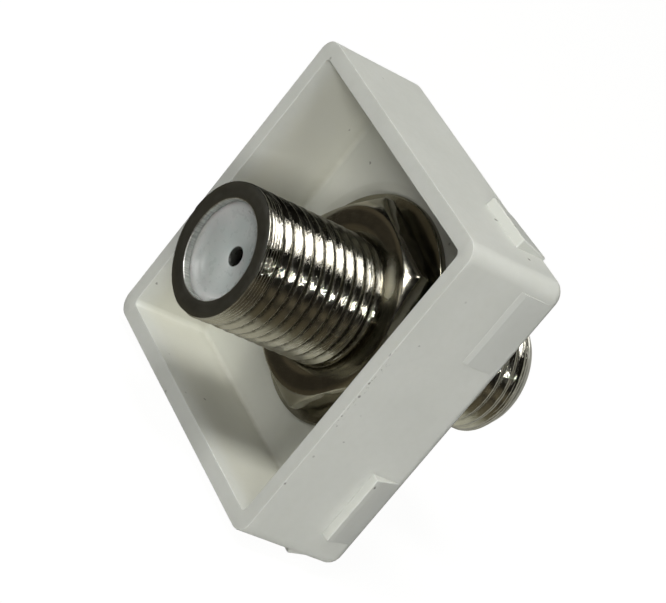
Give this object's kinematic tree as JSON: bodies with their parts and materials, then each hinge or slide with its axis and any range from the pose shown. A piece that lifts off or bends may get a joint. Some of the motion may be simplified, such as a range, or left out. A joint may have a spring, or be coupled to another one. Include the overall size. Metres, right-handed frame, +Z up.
{
  "type": "satellite tv socket module",
  "caption": "Square snap-in wall plate module carrying a screw-on satellite TV coaxial coupler, clamped through its face plate by a hex nut and a flat washer in the open back.",
  "frame": {"origin": "centre of the face plate's front surface, on the coupler's axis", "axes": "+Y along the coupler's axis to the rear, out of the open back, +Z up, +X to the right seen from the front"},
  "size_m": [0.0264, 0.0256, 0.0264],
  "materials": {
    "housing_plastic": "pale warm grey moulded plastic with a faint satin sheen, fine scuffs and dust specks",
    "plated_metal": "bright nickel plating over a fine rolled thread, turned end faces",
    "nut_metal": "bright nickel plating, mirror-like faces with fine turning marks",
    "washer_metal": "bright nickel plating on stamped sheet, mirror-like with faint scratches",
    "insulator_plastic": "milky translucent moulded plastic with a soft gloss",
    "contact_metal": "plated spring metal, dull and dark inside the eye"
  },
  "bodies": {
    "root": {"housing": "housing_plastic", "coupler_barrel": "plated_metal", "hex_nut": "nut_metal", "flat_washer": "washer_metal", "rear_insulator": "insulator_plastic", "front_insulator": "insulator_plastic", "centre_contact": "contact_metal"}
  },
  "joints": []
}
